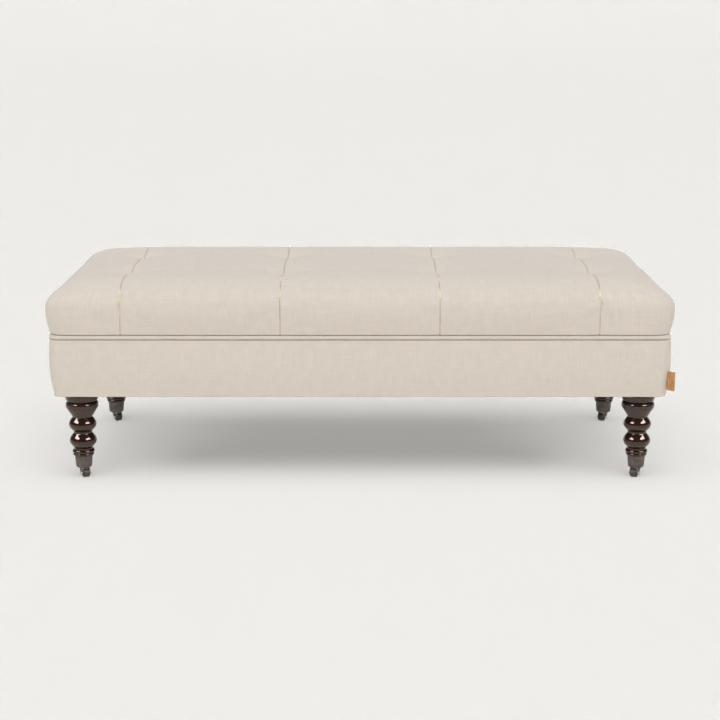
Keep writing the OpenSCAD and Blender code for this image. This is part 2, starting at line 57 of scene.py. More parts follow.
def corners(node):
    """The lowest and highest corner of a node, as arrays."""
    lo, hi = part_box(node)
    return np.array(lo), np.array(hi)


box_lo, box_hi = corners("box_cover")
_, lid_hi = corners("lid_cover")
pipe_lo, pipe_hi = corners("lid_piping")
well_lo, well_hi = corners("storage_lining")
pad_lo, pad_hi = corners("lid_lining")
cloth_lo, cloth_hi = corners("dust_cover")
tab_lo, tab_hi = corners("leather_tab")
_, twine_hi = corners("tufting_twines")

# The soft roll is a little thicker than the CAD cord
PIPE_R = (pipe_hi[2] - pipe_lo[2]) / 2 + 0.7 * MM
CORNER_R = 22 * MM
# The twines' outermost points stand this far outside the middles of the tufts
TWINE_REACH = 1.2 * MM
TUFT_X = (twine_hi[0] - TWINE_REACH) * np.array([-1, -1 / 3, 1 / 3, 1])
TUFT_Y = (twine_hi[1] - TWINE_REACH) * np.array([-1, 1])

LEGS = {}
for place in ("front_left", "front_right", "back_left", "back_right"):
    lo, hi = corners("leg_" + place)
    LEGS[place] = (lo + hi) / 2


# ---------------------------------------------------------------- mesh helpers


def make_object(name, verts, faces, uvs=None, smooth=True):
    """A mesh object from arrays of points and faces, with one UV for each point."""
    mesh = bpy.data.meshes.new(name)
    mesh.from_pydata([tuple(map(float, v)) for v in verts], [], [tuple(map(int, f)) for f in faces])
    mesh.update()
    if uvs is not None:
        layer = mesh.uv_layers.new(name="weave")
        loops = np.empty(len(mesh.loops), dtype=np.int32)
        mesh.loops.foreach_get("vertex_index", loops)
        layer.data.foreach_set("uv", np.asarray(uvs, dtype=np.float32)[loops].ravel())
    mesh.polygons.foreach_set("use_smooth", [smooth] * len(mesh.polygons))
    obj = bpy.data.objects.new(name, mesh)
    bpy.context.scene.collection.objects.link(obj)
    return obj


def points_of(obj):
    """The object's points as rows of an array."""
    co = np.empty(len(obj.data.vertices) * 3, dtype=np.float32)
    obj.data.vertices.foreach_get("co", co)
    return co.reshape(-1, 3).astype(float)


def set_points(obj, points):
    """Move the object's points to the rows of an array."""
    obj.data.vertices.foreach_set("co", np.asarray(points, dtype=np.float32).ravel())
    obj.data.update()


def apply_modifiers(obj):
    """Bake the object's modifiers into its mesh."""
    graph = bpy.context.evaluated_depsgraph_get()
    mesh = bpy.data.meshes.new_from_object(obj.evaluated_get(graph))
    obj.modifiers.clear()
    obj.data = mesh


def subdivide(obj):
    """Split every face in four and round the result."""
    mod = obj.modifiers.new("smooth", "SUBSURF")
    mod.levels = 1
    mod.render_levels = 1
    mod.boundary_smooth = "PRESERVE_CORNERS"
    apply_modifiers(obj)


def bevel(obj, width, segments):
    """Round the sharp edges of an object."""
    mod = obj.modifiers.new("edge", "BEVEL")
    mod.width = width
    mod.segments = segments
    mod.limit_method = "ANGLE"
    mod.angle_limit = math.radians(30)
    apply_modifiers(obj)
    obj.data.polygons.foreach_set("use_smooth", [True] * len(obj.data.polygons))
    obj.data.set_sharp_from_angle(angle=math.radians(40))


def face_outwards(obj, weld=None):
    """Turn all faces outwards, after welding points closer than weld."""
    bm = bmesh.new()
    bm.from_mesh(obj.data)
    if weld is not None:
        bmesh.ops.remove_doubles(bm, verts=bm.verts, dist=weld)
    bmesh.ops.recalc_face_normals(bm, faces=bm.faces)
    bm.to_mesh(obj.data)
    bm.free()


def prism(name, low, high):
    """A solid between two outlines with the same number of points."""
    n = len(low)
    faces = [(i, (i + 1) % n, n + (i + 1) % n, n + i) for i in range(n)]
    faces.append(tuple(reversed(range(n))))
    faces.append(tuple(range(n, 2 * n)))
    obj = make_object(name, [*low, *high], faces, smooth=False)
    face_outwards(obj)
    return obj


def grid_faces(nx, ny, first=0):
    """Faces of a grid of points, row by row, that face up."""
    starts = (first + j * nx + i for j in range(ny - 1) for i in range(nx - 1))
    return [(a, a + 1, a + nx + 1, a + nx) for a in starts]


def travel(points):
    """Distance along a line of points, at each of them."""
    steps = np.linalg.norm(np.diff(points, axis=0), axis=1)
    return np.concatenate([[0], np.cumsum(steps)])


def join(name, objects):
    """Join several objects into one and give it a name."""
    bm = bmesh.new()
    materials = []
    for obj in objects:
        start = len(bm.faces)
        bm.from_mesh(obj.data)
        bm.faces.ensure_lookup_table()
        offset = len(materials)
        materials.extend(obj.data.materials)
        for face in bm.faces[start:]:
            face.material_index += offset
    mesh = bpy.data.meshes.new(name)
    bm.to_mesh(mesh)
    bm.free()
    for mat in materials:
        mesh.materials.append(mat)
    for obj in objects:
        bpy.data.objects.remove(obj)
    joined = bpy.data.objects.new(name, mesh)
    bpy.context.scene.collection.objects.link(joined)
    return joined


def arc(centre, radius, start, end, count):
    """Points (a, b) along an arc, angles in degrees."""
    turn = np.radians(np.linspace(start, end, count))
    return [(centre[0] + radius * math.cos(t), centre[1] + radius * math.sin(t)) for t in turn]


def lathe(name, profile, segments=64, place=(0, 0, 0)):
    """Turn a profile of (radius, height) about Z. A radius of 0 closes the end."""
    profile = np.array(profile, dtype=float)
    turn = np.linspace(0, 2 * math.pi, segments, endpoint=False)
    verts, faces, rows = [], [], []
    for r, z in profile:
        if r < 1e-7:
            rows.append([len(verts)])
            verts.append((0, 0, z))
        else:
            rows.append(list(range(len(verts), len(verts) + segments)))
            verts.extend((r * math.cos(t), r * math.sin(t), z) for t in turn)
    for a, b in zip(rows, rows[1:]):
        for k in range(segments):
            n = (k + 1) % segments
            ring = [a[k % len(a)], a[n % len(a)], b[n % len(b)], b[k % len(b)]]
            face = list(dict.fromkeys(ring))
            if len(face) > 2:
                faces.append(face)
    obj = make_object(name, np.array(verts) + np.array(place), faces)
    obj.data.set_sharp_from_angle(angle=math.radians(50))
    return obj


def capsule(start, end, radius, sides=8):
    """A short rounded rod between two points, as points and faces."""
    start, end = Vector(start), Vector(end)
    along = (end - start).normalized()
    side = along.orthogonal().normalized()
    other = along.cross(side)
    rings = []
    for f, s in ((-0.7, 0.45), (0.0, 1.0)):
        rings.append((start + along * radius * f, radius * s))
    for f, s in ((0.0, 1.0), (0.7, 0.45)):
        rings.append((end + along * radius * f, radius * s))
    verts, faces = [], []
    for centre, r in rings:
        for k in range(sides):
            t = 2 * math.pi * k / sides
            verts.append(tuple(centre + (side * math.cos(t) + other * math.sin(t)) * r))
    for i in range(len(rings) - 1):
        for k in range(sides):
            n = (k + 1) % sides
            faces.append((i * sides + k, i * sides + n, (i + 1) * sides + n, (i + 1) * sides + k))
    faces.append(tuple(reversed(range(sides))))
    faces.append(tuple(range((len(rings) - 1) * sides, len(rings) * sides)))
    return verts, faces


def many(name, shapes):
    """One object from several (points, faces) shapes."""
    verts, faces = [], []
    for points, polys in shapes:
        base = len(verts)
        verts.extend(points)
        faces.extend(tuple(base + i for i in poly) for poly in polys)
    return make_object(name, verts, faces)


def waves(points, size, strength, seed, terms=9):
    """Smooth unevenness over points: a seeded sum of sines with wavelengths near size."""
    source = np.random.default_rng(seed)
    total = np.zeros(len(points))
    for _ in range(terms):
        direction = source.normal(size=points.shape[1])
        direction /= np.linalg.norm(direction)
        length = size * source.uniform(0.6, 1.6)
        total += np.sin(points @ direction * 2 * math.pi / length + source.uniform(0, 2 * math.pi))
    return total * strength / math.sqrt(terms)


# ---------------------------------------------------------------- materials


class Shader:
    """A node material being put together, with short calls for its nodes."""

    def __init__(self, name, roughness=0.5, metallic=0.0, sheen=0.0):
        self.mat = bpy.data.materials.new(name)
        self.mat.use_nodes = True
        self.tree = self.mat.node_tree
        self.shader = self.tree.nodes["Principled BSDF"]
        self.set("Roughness", roughness)
        self.set("Metallic", metallic)
        self.set("IOR", 1.5)
        self.set("Sheen Weight", sheen)

    def set(self, socket, value):
        """Set a value that is the same all over the surface."""
        self.shader.inputs[socket].default_value = value

    def node(self, kind, **settings):
        node = self.tree.nodes.new(kind)
        for key, value in settings.items():
            setattr(node, key, value)
        return node

    def link(self, source, target):
        self.tree.links.new(source, target)

    def place(self, space, scale, turn=(0, 0, 0)):
        """Coordinates of the surface, scaled."""
        coord = self.node("ShaderNodeTexCoord")
        mapping = self.node("ShaderNodeMapping")
        mapping.inputs["Scale"].default_value = scale
        mapping.inputs["Rotation"].default_value = turn
        self.link(coord.outputs[space], mapping.inputs["Vector"])
        return mapping.outputs["Vector"]

    def noise(self, vector, detail=3.0, roughness=0.55, distortion=0.0):
        """Cloudy unevenness with a size of about one unit of the vector."""
        node = self.node("ShaderNodeTexNoise")
        self.link(vector, node.inputs["Vector"])
        node.inputs["Scale"].default_value = 1.0
        node.inputs["Detail"].default_value = detail
        node.inputs["Roughness"].default_value = roughness
        node.inputs["Distortion"].default_value = distortion
        return node.outputs["Fac"]

    def threads(self, vector, direction, distortion=0.6):
        """Parallel threads, one for each unit of the vector."""
        node = self.node("ShaderNodeTexWave", bands_direction=direction)
        self.link(vector, node.inputs["Vector"])
        node.inputs["Scale"].default_value = 0.314
        node.inputs["Distortion"].default_value = distortion
        node.inputs["Detail"].default_value = 1.0
        node.inputs["Detail Scale"].default_value = 0.2
        return node.outputs["Fac"]

    def math(self, operation, a, b):
        """Add, multiply and so on, with numbers or sockets."""
        node = self.node("ShaderNodeMath", operation=operation)
        for value, socket in ((a, node.inputs[0]), (b, node.inputs[1])):
            if isinstance(value, (int, float)):
                socket.default_value = value
            else:
                self.link(value, socket)
        return node.outputs[0]

    def ramp(self, fac, stops):
        """A colour ramp with (position, colour) stops."""
        node = self.node("ShaderNodeValToRGB")
        self.link(fac, node.inputs["Fac"])
        band = node.color_ramp
        while len(band.elements) < len(stops):
            band.elements.new(0.5)
        for element, (position, colour) in zip(band.elements, stops):
            element.position = position
            element.color = (*colour, 1) if len(colour) == 3 else colour
        return node.outputs["Color"]

    def mix(self, fac, a, b, blend="MIX"):
        """Blend two colours."""
        node = self.node("ShaderNodeMix", data_type="RGBA", blend_type=blend)
        for value, socket in ((fac, node.inputs[0]), (a, node.inputs[6]), (b, node.inputs[7])):
            if isinstance(value, (int, float)):
                socket.default_value = value
            elif isinstance(value, tuple):
                socket.default_value = (*value, 1)
            else:
                self.link(value, socket)
        return node.outputs[2]

    def span(self, fac, low, high):
        """Stretch a factor of 0 to 1 to low to high."""
        node = self.node("ShaderNodeMapRange")
        self.link(fac, node.inputs["Value"])
        node.inputs["To Min"].default_value = low
        node.inputs["To Max"].default_value = high
        return node.outputs["Result"]

    def bump(self, height, distance, strength=1.0):
        """Fine relief from a height."""
        node = self.node("ShaderNodeBump")
        node.inputs["Strength"].default_value = strength
        node.inputs["Distance"].default_value = distance
        self.link(height, node.inputs["Height"])
        return node.outputs["Normal"]

    def finish(self, colour, rough=None, normal=None):
        """Connect what varies over the surface and give the material."""
        for value, socket in ((colour, "Base Color"), (rough, "Roughness"), (normal, "Normal")):
            if value is not None:
                self.link(value, self.shader.inputs[socket])
        return self.mat


def shade(colour, factor):
    """A darker or lighter colour."""
    return tuple(min(1.0, c * factor) for c in colour)


def woven(name, colour, pitch=0.75 * MM, slub=0.05, turn=0.0, sheen=0.15, relief=0.12 * MM):
    """Plain woven cloth laid out on the mesh's own UV map, which is in metres."""
    s = Shader(name, roughness=0.92, sheen=sheen)
    s.set("Sheen Roughness", 0.5)
    s.set("Specular IOR Level", 0.25)
    angle = (0, 0, turn)
    warp_streaks = s.noise(s.place("UV", (650, 22, 1), angle), detail=2.5)
    weft_streaks = s.noise(s.place("UV", (22, 650, 1), angle), detail=2.5)
    mottle = s.noise(s.place("UV", (55, 55, 1), angle), detail=4)
    threads = s.place("UV", (1 / pitch, 1 / pitch, 1), angle)
    warp = s.threads(threads, "X")
    weft = s.threads(threads, "Y")
    crossing = s.math("MAXIMUM", warp, weft)
    # Where neither thread crests: the hollows of the weave, which get painted shade
    gap_shade = s.math("MULTIPLY", s.math("SUBTRACT", 1.0, warp), s.math("SUBTRACT", 1.0, weft))
    streaks = s.math("ADD", s.math("MULTIPLY", warp_streaks, 0.5), s.math("MULTIPLY", weft_streaks, 0.5))
    tone = s.ramp(streaks, [
        (0.32, shade(colour, 1 - 1.6 * slub)),
        (0.50, colour),
        (0.68, shade(colour, 1 + slub)),
    ])
    tone = s.mix(0.5, tone, s.ramp(mottle, [(0.3, (0.90, 0.90, 0.90)), (0.7, (1.0, 1.0, 1.0))]), "MULTIPLY")
    # Painted shade: the hollows between the threads are mixed towards a darker tone of the cloth
    tone = s.mix(s.math("MULTIPLY", gap_shade, 0.35), tone, shade(colour, 0.62))
    height = s.math("ADD", crossing, s.math("MULTIPLY", streaks, 1.2))
    rough = s.span(streaks, 0.84, 0.98)
    return s.finish(tone, rough, s.bump(height, relief))


def espresso_wood():
    """Turned wood, stained nearly black and polished."""
    s = Shader("espresso_wood", roughness=0.08)
    s.set("Specular IOR Level", 0.80)
    s.set("Specular Tint", (1.0, 0.86, 0.80, 1.0))
    grain = s.noise(s.place("Object", (260, 260, 9)), detail=6, roughness=0.6, distortion=0.4)
    pores = s.noise(s.place("Object", (900, 900, 40)), detail=2)
    colour = s.ramp(grain, [
        (0.30, (0.0100, 0.0036, 0.0020)),
        (0.52, (0.0190, 0.0068, 0.0036)),
        (0.75, (0.0320, 0.0115, 0.0062)),
    ])
    rough = s.span(pores, 0.05, 0.11)
    return s.finish(colour, rough, s.bump(pores, 0.05 * MM, 0.25))


def raw_wood(name, colour):
    """Unfinished plywood."""
    s = Shader(name, roughness=0.7)
    s.set("Specular IOR Level", 0.3)
    grain = s.noise(s.place("Object", (4, 60, 110)), detail=6, roughness=0.6, distortion=0.6)
    plies = s.threads(s.place("Object", (1, 1, 300)), "Z", 0.3)
    tone = s.ramp(grain, [(0.3, shade(colour, 0.72)), (0.7, shade(colour, 1.1))])
    tone = s.mix(s.math("MULTIPLY", plies, 0.18), tone, shade(colour, 0.55))
    return s.finish(tone, s.span(grain, 0.6, 0.8), s.bump(grain, 0.2 * MM, 0.4))


def metal(name, dark, light, roughness, relief=0.04 * MM, metallic=1.0, streak=(1, 1, 1)):
    """Blotchy metal with fine marks, which can be drawn out along one direction."""
    s = Shader(name, roughness=roughness, metallic=metallic)
    stretch = tuple(260 * k for k in streak)
    blotch = s.noise(s.place("Object", (70, 70, 70)), detail=5, roughness=0.65)
    fine = s.noise(s.place("Object", stretch), detail=4)
    tone = s.ramp(blotch, [(0.35, dark), (0.68, light)])
    rough = s.span(fine, roughness - 0.08, roughness + 0.10)
    return s.finish(tone, rough, s.bump(fine, relief, 0.5))


def tan_leather():
    """Smooth tan leather with a fine grain."""
    s = Shader("tan_leather", roughness=0.5)
    s.set("Specular IOR Level", 0.4)
    grain = s.node("ShaderNodeTexVoronoi", feature="DISTANCE_TO_EDGE")
    s.link(s.place("Object", (900, 900, 900)), grain.inputs["Vector"])
    blotch = s.noise(s.place("Object", (90, 90, 90)), detail=5)
    tone = s.ramp(blotch, [(0.3, (0.40, 0.175, 0.055)), (0.7, (0.60, 0.30, 0.11))])
    return s.finish(tone, s.span(blotch, 0.42, 0.62), s.bump(grain.outputs["Distance"], 0.15 * MM, 0.5))


def plain(name, dark, light, roughness, relief=0.05 * MM):
    """Moulded, painted or foamed surface: two close tones, uneven roughness and a fine bump."""
    s = Shader(name, roughness=roughness)
    fine = s.noise(s.place("Object", (300, 300, 300)), detail=5, roughness=0.6)
    broad = s.noise(s.place("Object", (40, 40, 40)), detail=3)
    tone = s.ramp(broad, [(0.3, dark), (0.7, light)])
    return s.finish(tone, s.span(fine, roughness - 0.1, roughness + 0.1), s.bump(fine, relief, 0.6))


LINEN_COLOUR = (0.690, 0.618, 0.540)
MAT = {
    "linen": woven("linen", LINEN_COLOUR),
    # The piping's linen is painted 1% lighter than the cushion's: painted light on the roll under the
    # overhang
    "linen_bias": woven("linen_bias", shade(LINEN_COLOUR, 1.01), turn=math.radians(45)),
    "lining": woven("cotton_lining", (0.60, 0.55, 0.48), pitch=0.5 * MM, slub=0.03, relief=0.06 * MM),
    "dust_cloth": woven("dust_cloth", (0.030, 0.030, 0.032), pitch=0.9 * MM, slub=0.2, relief=0.1 * MM),
    "wood": espresso_wood(),
    "ply": raw_wood("birch_ply", (0.66, 0.49, 0.31)),
    "pewter": metal("antique_pewter", (0.078, 0.064, 0.055), (0.158, 0.132, 0.115), 0.42, metallic=0.45),
    "zinc": metal("zinc_steel", (0.50, 0.50, 0.51), (0.68, 0.68, 0.69), 0.32, streak=(1, 8, 8)),
    "chrome": metal("polished_rod", (0.62, 0.62, 0.64), (0.72, 0.72, 0.73), 0.16, relief=0.01 * MM),
    "leather": tan_leather(),
    "leather_edge": plain("leather_edge", (0.05, 0.02, 0.010), (0.10, 0.04, 0.018), 0.55),
    "wheel": plain("castor_composition", (0.032, 0.029, 0.025), (0.056, 0.051, 0.044), 0.50),
    "rubber": plain("black_rubber", (0.020, 0.020, 0.020), (0.035, 0.035, 0.035), 0.7),
    "plastic": plain("black_plastic", (0.022, 0.022, 0.023), (0.032, 0.032, 0.033), 0.4),
    "paint": plain("black_paint", (0.012, 0.012, 0.013), (0.020, 0.020, 0.021), 0.28, relief=0.02 * MM),
    "foam": plain("foam", (0.74, 0.66, 0.42), (0.84, 0.77, 0.55), 0.9, relief=0.6 * MM),
    "twine": plain("waxed_twine", (0.50, 0.42, 0.30), (0.64, 0.55, 0.40), 0.7),
    "thread": plain("linen_thread", (0.60, 0.53, 0.45), (0.70, 0.62, 0.53), 0.8),
}


def dress(obj, key):
    """Give an object one material."""
    obj.data.materials.clear()
    obj.data.materials.append(MAT[key])
    return obj


def paint_node(name, key):
    """Give a CAD node its finish without touching its mesh."""
    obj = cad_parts[name]
    if not obj.material_slots:
        obj.data.materials.append(None)
    for piece in obj.material_slots:
        piece.link = "OBJECT"
        piece.material = MAT[key]


def stand_for(obj, key, body, slot, *nodes):
    """Dress a new piece, put it on its body and let it stand for its CAD nodes."""
    if key is not None:
        dress(obj, key)
    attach(obj, body)
    if nodes:
        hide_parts(*nodes)
    return obj


# ---------------------------------------------------------------- surfaces made of loops


SEAM_STEPS = (0, 0.7 * MM, 1.6 * MM, 3 * MM, 5.5 * MM, 9 * MM, 14 * MM)


def stations(half, seams, step):
    """Places from -half to half, closely spaced on both sides of each seam."""
    anchors = [-half, *seams, half]
    places = []
    for i, (a, b) in enumerate(zip(anchors, anchors[1:])):
        start = [a + f for f in SEAM_STEPS] if i > 0 else [a]
        stop = [b - f for f in reversed(SEAM_STEPS)] if i < len(anchors) - 2 else [b]
        middle = np.linspace(start[-1], stop[0], max(2, round((stop[0] - start[-1]) / step) + 1))
        places.extend(start[:-1] + list(middle) + stop[1:-1])
    return np.array(places)


def rounded_loop(xs, ys, half_x, half_y, radius, zone, reach=None):
    """A closed loop round a rectangle, one point for each station of the two grids.

    Stations within zone of a corner are spread over its arc; those further than reach keep their
    place. Returns points and outward directions.
    """
    reach = reach or 3.5 * zone

    def side(places, inner_half):
        """Position along a side and turn (-45 to 45 degrees) of each station."""
        out = []
        for place in places:
            near, sign = places[-1] - abs(place), 1 if place > 0 else -1
            if near < zone:
                turn = math.radians(45) * (1 - near / zone)
                out.append((sign * (inner_half + radius * math.sin(turn)), sign * turn))
            else:
                blend = min(1.0, (near - zone) / (reach - zone))
                straight = sign * (inner_half - (near - zone))
                out.append((straight * (1 - blend) + place * blend, 0.0))
        return out

    along_x = side(xs, half_x - radius)
    along_y = side(ys, half_y - radius)
    points, normals = [], []

    def add(outward, tangent, pos, turn, inner):
        normal = outward * math.cos(turn) + tangent * math.sin(turn)
        points.append(tangent * pos + outward * (inner + radius * math.cos(turn)))
        normals.append(normal)

    ex, ey = np.array([1.0, 0.0]), np.array([0.0, 1.0])
    for pos, turn in along_x[:-1]:
        add(-ey, ex, pos, turn, half_y - radius)
    for pos, turn in along_y[:-1]:
        add(ex, ey, pos, turn, half_x - radius)
    for pos, turn in reversed(along_x[1:]):
        add(ey, ex, pos, turn, half_y - radius)
    for pos, turn in reversed(along_y[1:]):
        add(-ex, ey, pos, turn, half_x - radius)
    return np.array(points), np.array(normals)


def skin(rings, uvs):
    """Faces between successive closed rings of points."""
    count = len(rings[0])
    verts = np.concatenate(rings)
    coords = np.concatenate(uvs)
    faces = []
    for i in range(len(rings) - 1):
        for k in range(count):
            n = (k + 1) % count
            faces.append((i * count + k, (i + 1) * count + k, (i + 1) * count + n, i * count + n))
    return verts, faces, coords


# ---------------------------------------------------------------- lid cushion

# Depth and width of the valleys that the seams draw, and of the tufts
VALLEY_DEPTH = 1.2 * MM
VALLEY_W = 26 * MM
TUFT_DEPTH = 19 * MM
TUFT_W = 30 * MM
# Width and height of the roll from the flat top to the upright side
ROLL_W = 95 * MM
ROLL_H = 48 * MM
# How much lower the two ends are than the middle
END_DROP = 12 * MM
# The stitched line itself
CREASE_DEPTH = 2.6 * MM
CREASE_W = 0.8 * MM
# Farthest that the simulated cloth may stand off its rest shape
LIFT = 1.3 * MM
# Room between the cushion's foam and its cover
FOAM_INSET = 4.8 * MM


def cushion_stations():
    """Places of the cushion's grid lines along X and along Y."""
    half_x, half_y = lid_hi[0] - ROLL_W, lid_hi[1] - ROLL_W
    return stations(half_x, TUFT_X, 10 * MM), stations(half_y, TUFT_Y, 10 * MM)


def cushion_profile():
    """(inset from the outermost line, height, arc length) from the crown's edge down to the seam."""
    crown = lid_hi[2] - 4.3 * MM
    profile = []
    for turn in np.radians([0, 9, 18, 26, 34, 42, 50, 58, 66, 74, 82, 90]):
        profile.append((ROLL_W * (1 - math.sin(turn)), crown - ROLL_H * (1 - math.cos(turn))))
    low = pipe_hi[2] + 1.3 * MM
    drop = crown - ROLL_H - low
    for f in np.linspace(0, 1, 10)[1:]:
        profile.append((8.0 * MM * f**1.8, crown - ROLL_H - drop * f))
    profile += [(8.6 * MM, low - 0.7 * MM), (10.2 * MM, low - 1.2 * MM)]
    profile = np.array(profile)
    return profile, travel(profile)


def cushion_mesh():
    """Rest shape of the lid's cover: a rounded block with valleys along its seams.

    Returns points, faces, UVs, how far down the side each point is, from 0 on top to 1 at the
    piping, and the ring of points at the piping.
    """
    xs, ys = cushion_stations()
    nx, ny = len(xs), len(ys)
    grid = np.array([(x, y) for y in ys for x in xs])
    profile, arc_length = cushion_profile()
    verts = [np.column_stack([grid, np.full(len(grid), profile[0][1])])]
    uvs = [grid]
    faces = grid_faces(nx, ny)
    border = list(range(nx - 1))
    border += [j * nx + nx - 1 for j in range(ny - 1)]
    border += [(ny - 1) * nx + i for i in range(nx - 1, 0, -1)]
    border += [j * nx for j in range(ny - 1, 0, -1)]
    previous = border
    count = len(border)
    side = [np.zeros(len(grid))]
    for k in range(1, len(profile)):
        inset, z = profile[k]
        radius = max(2 * MM, 30 * MM - inset * 0.35)
        half_x, half_y = lid_hi[0] - 2 * MM - inset, lid_hi[1] - inset
        loop, outward = rounded_loop(xs, ys, half_x, half_y, radius, 24 * MM, 56 * MM)
        start = sum(len(v) for v in verts)
        verts.append(np.column_stack([loop, np.full(count, z)]))
        uvs.append(grid[border] + outward * arc_length[k])
        side.append(np.full(count, arc_length[k] / arc_length[-1]))
        ring = list(range(start, start + count))
        for i in range(count):
            n = (i + 1) % count
            faces.append((previous[i], ring[i], ring[n], previous[n]))
        previous = ring
    points = np.concatenate(verts)
    coords = np.concatenate(uvs)
    return points, faces, coords, np.concatenate(side), previous


def nearest(values, seams):
    """Distance of each value to the nearest seam."""
    return np.min(np.abs(values[:, None] - np.asarray(seams)[None, :]), axis=1)


def normals_of(points, faces):
    """Normals of the points of a mesh of quads."""
    total = np.zeros_like(points)
    quads = np.array(faces)
    a, b, c, d = (points[quads[:, k]] for k in range(4))
    cross = np.cross(c - a, d - b)
    for k in range(4):
        np.add.at(total, quads[:, k], cross)
    return total / np.maximum(np.linalg.norm(total, axis=1, keepdims=True), 1e-12)


def sew(points, faces, coords, side):
    """Pull the seams and tufts of the cushion inwards along its normals.

    Returns the points and each one's distance to the nearest crosswise seam.
    """
    normals = normals_of(points, faces)
    across = nearest(coords[:, 0], TUFT_X)
    along = nearest(coords[:, 1], TUFT_Y)
    reach = np.hypot(across, along)
    across = np.where(np.abs(coords[:, 0]) > lid_hi[0] - ROLL_W, 1.0, across)
    along = np.where(np.abs(coords[:, 1]) > lid_hi[1] - ROLL_W, 1.0, along)
    fade = np.clip((1 - side) / 0.35, 0, 1) ** 0.8
    valley = VALLEY_DEPTH * np.exp(-np.minimum(across, along) / VALLEY_W)
    dip = (TUFT_DEPTH - VALLEY_DEPTH) * np.exp(-((reach / TUFT_W) ** 1.4))
    return points - normals * (valley * fade + dip)[:, None], across


def inflate(obj, pinned, pressure, limit, frames=20, slack=-0.012):
    """Cloth simulation of a cover under inside pressure; movement is capped at limit.

    The pinned points are a row of true and false.
    """
    before = points_of(obj)
    group = obj.vertex_groups.new(name="pinned")
    group.add([int(i) for i in np.nonzero(pinned)[0]], 1.0, "REPLACE")
    mod = obj.modifiers.new("cloth", "CLOTH")
    cloth = mod.settings
    cloth.quality = 6
    cloth.mass = 0.3
    cloth.tension_stiffness = 20
    cloth.compression_stiffness = 12
    cloth.shear_stiffness = 6
    cloth.bending_stiffness = 0.6
    cloth.air_damping = 2.0
    cloth.use_pressure = True
    cloth.uniform_pressure_force = pressure
    cloth.shrink_min = slack
    cloth.vertex_group_mass = "pinned"
    cloth.pin_stiffness = 1.0
    cloth.effector_weights.gravity = 0
    mod.collision_settings.use_collision = False
    mod.collision_settings.use_self_collision = False
    mod.point_cache.frame_start = 1
    mod.point_cache.frame_end = frames
    scene = bpy.context.scene
    for number in range(1, frames + 1):
        scene.frame_set(number)
    graph = bpy.context.evaluated_depsgraph_get()
    after = np.empty(len(before) * 3, dtype=np.float32)
    obj.evaluated_get(graph).data.vertices.foreach_get("co", after)
    after = after.reshape(-1, 3).astype(float)
    obj.modifiers.clear()
    obj.vertex_groups.clear()
    scene.frame_set(1)
    move = after - before
    size = np.linalg.norm(move, axis=1, keepdims=True)
    capped = move * np.minimum(1, limit / np.maximum(size, 1e-9))
    set_points(obj, before + capped)
    print(f"{obj.name}: cloth moved {size.max() / MM:.1f} mm at most, {size.mean() / MM:.1f} mm on average")


def build_cushion():
    """The lid's linen cover: shaped, sewn, inflated and creased, with its foam."""
    points, faces, coords, side, hem = cushion_mesh()
    beyond = np.clip((np.abs(points[:, 0]) - TUFT_X[-1]) / (lid_hi[0] - TUFT_X[-1]), 0, 1)
    points[:, 2] -= END_DROP * beyond**1.5 * (1 - side)
    sewn, across = sew(points, faces, coords, side)
    obj = make_object("lid_cushion_cover", sewn, faces, coords)
    reach = np.hypot(nearest(coords[:, 0], TUFT_X), nearest(coords[:, 1], TUFT_Y))
    pinned = (across < 0.5 * MM) | (reach < 4 * MM) | (side > 0.93)
    inflate(obj, pinned, pressure=1.5, limit=LIFT)
    points = points_of(obj)
    normals = normals_of(points, faces)
    crease = CREASE_DEPTH * np.exp(-(across / CREASE_W) ** 2)
    creased = points - normals * crease[:, None]
    creased[:, 2] = np.minimum(creased[:, 2], lid_hi[2])
    set_points(obj, creased)
    build_cushion_foam(*cushion_stations(), points, faces, hem)
    subdivide(obj)
    stand_for(obj, "linen", "lid", "linen", "lid_cover")


def build_cushion_foam(xs, ys, points, faces, hem):
    """Foam that fills the cover: its outside lies under the linen, its underside takes the board."""
    _, board_hi = corners("lid_board")
    play = 0.3 * MM
    bottom = pipe_hi[2] + 0.3 * MM
    outer = points - normals_of(points, faces) * FOAM_INSET
    outer[:, 2] = np.maximum(outer[:, 2], bottom)
    rings = [outer]
    faces = list(faces)
    ring = list(hem)
    count = len(ring)
    start = len(outer)
    for z in (bottom, board_hi[2] + 0.2 * MM):
        loop, _ = rounded_loop(xs, ys, board_hi[0] + play, board_hi[1] + play, 10 * MM, 36 * MM)
        rings.append(np.column_stack([loop, np.full(count, z)]))
        below = list(range(start, start + count))
        for i in range(count):
            n = (i + 1) % count
            faces.append((ring[i], below[i], below[n], ring[n]))
        ring = below
        start += count
    faces.append(tuple(ring))
    obj = make_object("lid_foam_pad", np.concatenate(rings), faces)
    stand_for(obj, "foam", "lid", "foam", "lid_foam")


build_cushion()


# ---------------------------------------------------------------- piped edge of the lid


# How far the soft roll sags into the lid's gap
PIPE_SAG = 1.35 * MM


